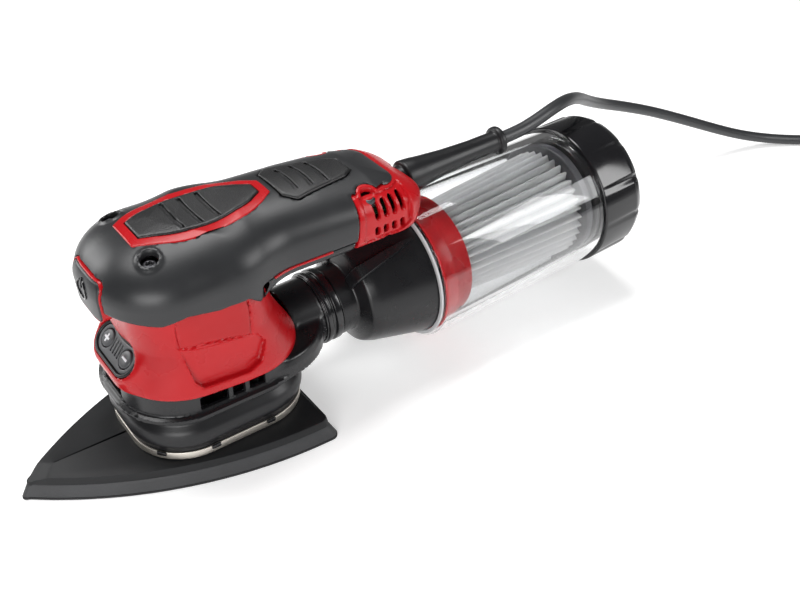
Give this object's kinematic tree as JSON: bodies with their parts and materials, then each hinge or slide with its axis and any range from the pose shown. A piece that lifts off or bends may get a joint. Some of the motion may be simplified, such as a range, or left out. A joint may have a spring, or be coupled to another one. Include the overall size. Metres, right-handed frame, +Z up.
{
  "type": "detail mouse sander",
  "caption": "Corded detail sander with an iron-shaped orbital pad, rubber bellows, palm grip, front keypad and a clear dust canister on a rear outlet.",
  "frame": {"origin": "where the motor axis meets the sanding face at rest", "axes": "+X to the rear along the tool, +Y across to the far side of the keypad's plus key, +Z up along the motor axis"},
  "size_m": [0.7525, 0.1948, 0.1296],
  "materials": {
    "soft_grip": "soft-touch matte moulding",
    "black_plastic": "satin moulded plastic",
    "gloss_black": "smooth moulded plastic",
    "red_plastic": "satin moulded plastic",
    "clear_plastic": "clear moulded plastic",
    "rubber": "moulded rubber",
    "foam": "closed-cell foam",
    "hook": "hook fabric",
    "band_metal": "satin strip",
    "steel": "ground steel",
    "aluminium": "cast aluminium",
    "copper": "enamelled copper wire",
    "lamination": "stacked steel sheet",
    "board": "glass-fibre board",
    "key_grey": "moulded keypad",
    "screw_black": "black oxide",
    "filter_paper": "pleated paper",
    "filter_plastic": "moulded plastic",
    "cord_jacket": "extruded jacket",
    "plug_plastic": "moulded plug",
    "pin_metal": "nickel-plated pins"
  },
  "bodies": {
    "machine": {"dust_shroud": "black_plastic", "outlet_collar": "black_plastic", "motor_housing": "red_plastic", "side_panels": "red_plastic", "keypad_gasket": "rubber", "keypad_plate": "key_grey", "speed_leds": "black_plastic", "keypad_board": "board", "grip_cover": "soft_grip", "handle_lower_shell": "black_plastic", "rear_vent_housing": "red_plastic", "palm_ring": "red_plastic", "front_palm_pad": "rubber", "rear_palm_pad": "rubber", "trim_strips": "red_plastic", "power_switch": "black_plastic", "cover_screws": "screw_black", "control_board": "board", "board_components": "aluminium", "cord_clamp": "black_plastic", "cable_gland": "rubber", "lower_bearing": "steel", "upper_bearing": "steel", "lower_motor_bracket": "aluminium", "upper_motor_bracket": "aluminium", "motor_can": "steel", "stator_core": "lamination", "stator_windings": "copper", "cord_lead": "cord_jacket", "cord_coil": "cord_jacket", "cord_tail": "cord_jacket", "plug_boot": "plug_plastic", "plug_body": "plug_plastic", "plug_pins": "pin_metal"},
    "spindle": {"motor_shaft": "steel", "eccentric_drive": "steel", "counterweight": "steel", "cooling_fan": "black_plastic", "rotor": "lamination"},
    "pad": {"hook_layer": "hook", "foam_pad": "foam", "backing_plate": "black_plastic", "pad_hub": "aluminium", "pad_bearing": "steel", "pad_screws": "steel", "clamp_band": "band_metal", "rubber_bellows": "rubber", "band_clips": "black_plastic"},
    "power_key": {"power_button": "key_grey"},
    "plus_key": {"plus_button": "key_grey"},
    "minus_key": {"minus_button": "key_grey"},
    "adapter": {"canister_adapter": "gloss_black"},
    "canister": {"canister_seal": "rubber", "dust_canister": "clear_plastic", "red_collar": "red_plastic"},
    "filter": {"filter_cartridge": "filter_paper", "filter_nose": "filter_plastic", "filter_base": "filter_plastic"},
    "cap": {"canister_cap": "gloss_black"}
  },
  "joints": [
    {"name": "spindle_spin", "type": "hinge", "parent": "machine", "child": "spindle", "pos_m": [0, 0, 0.04], "axis": [0, 0, 1], "continuous": true},
    {"name": "pad_orbit", "type": "hinge", "parent": "spindle", "child": "pad", "pos_m": [0.001, 0, 0.02], "axis": [0, 0, 1], "continuous": true},
    {"name": "power_button_press", "type": "slide", "parent": "machine", "child": "power_key", "axis": [1, 0, 0], "range_m": [0, 0.0015], "stiffness_N_per_m": 900, "springref_m": -0.001},
    {"name": "plus_button_press", "type": "slide", "parent": "machine", "child": "plus_key", "axis": [0.7071, 0, -0.7071], "range_m": [0, 0.0008], "stiffness_N_per_m": 700, "springref_m": -0.001},
    {"name": "minus_button_press", "type": "slide", "parent": "machine", "child": "minus_key", "axis": [0.7071, 0, -0.7071], "range_m": [0, 0.0008], "stiffness_N_per_m": 700, "springref_m": -0.001},
    {"name": "adapter_pull", "type": "slide", "parent": "machine", "child": "adapter", "axis": [0.9986, 0, 0.0523], "range_m": [0, 0.012]},
    {"name": "canister_twist", "type": "hinge", "parent": "adapter", "child": "canister", "pos_m": [0.1493, 0, 0.0483], "axis": [0.9986, 0, 0.0523], "range_deg": [0, 20]},
    {"name": "filter_pull", "type": "slide", "parent": "canister", "child": "filter", "axis": [0.9986, 0, 0.0523], "range_m": [0, 0.09]},
    {"name": "cap_twist", "type": "hinge", "parent": "filter", "child": "cap", "pos_m": [0.1493, 0, 0.0483], "axis": [0.9986, 0, 0.0523], "range_deg": [0, 30]}
  ],
  "couplings": [
    {"joint": "pad_orbit", "follows": "spindle_spin", "ratio": -1}
  ]
}
